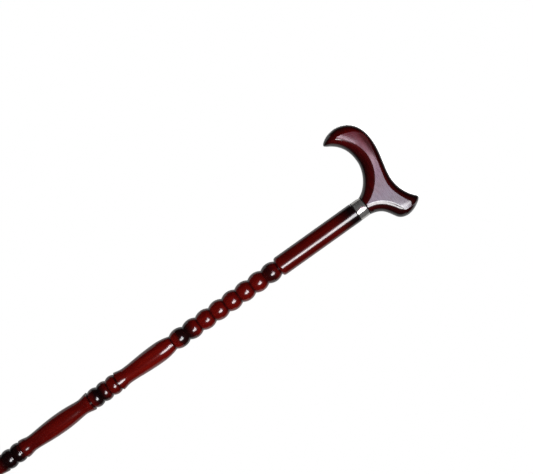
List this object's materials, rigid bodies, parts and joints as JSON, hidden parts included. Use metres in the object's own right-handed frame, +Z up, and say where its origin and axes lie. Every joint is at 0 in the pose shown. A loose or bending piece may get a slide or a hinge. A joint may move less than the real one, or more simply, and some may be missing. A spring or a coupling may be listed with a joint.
{
  "type": "walking cane",
  "caption": "Walking cane with a derby handle, a plated collar, a turned shaft of beads, spindles and rings, and a rubber ferrule that pulls off.",
  "frame": {"origin": "middle of the ferrule's sole, on the shaft's axis, where the cane meets the floor", "axes": "+Z up the shaft to the handle, -X towards the handle's nose and +X towards its heel, Y square to the handle's flat sides"},
  "size_m": [0.1213, 0.036, 0.915],
  "materials": {
    "handle_wood": "high gloss lacquer over red-brown stain",
    "shaft_wood": "high gloss lacquer over red-brown stain, shaded black in places",
    "collar_plate": "polished plating",
    "zinc_steel": "zinc plated",
    "black_rubber": "moulded, matt"
  },
  "bodies": {
    "cane": {"handle": "handle_wood", "collar": "collar_plate", "handle_stud": "zinc_steel", "shaft": "shaft_wood"},
    "tip": {"ferrule": "black_rubber", "ferrule_washer": "zinc_steel"}
  },
  "joints": [
    {"name": "ferrule_pull_off", "type": "slide", "parent": "cane", "child": "tip", "axis": [0, 0, -1], "range_m": [0, 0.036]}
  ]
}
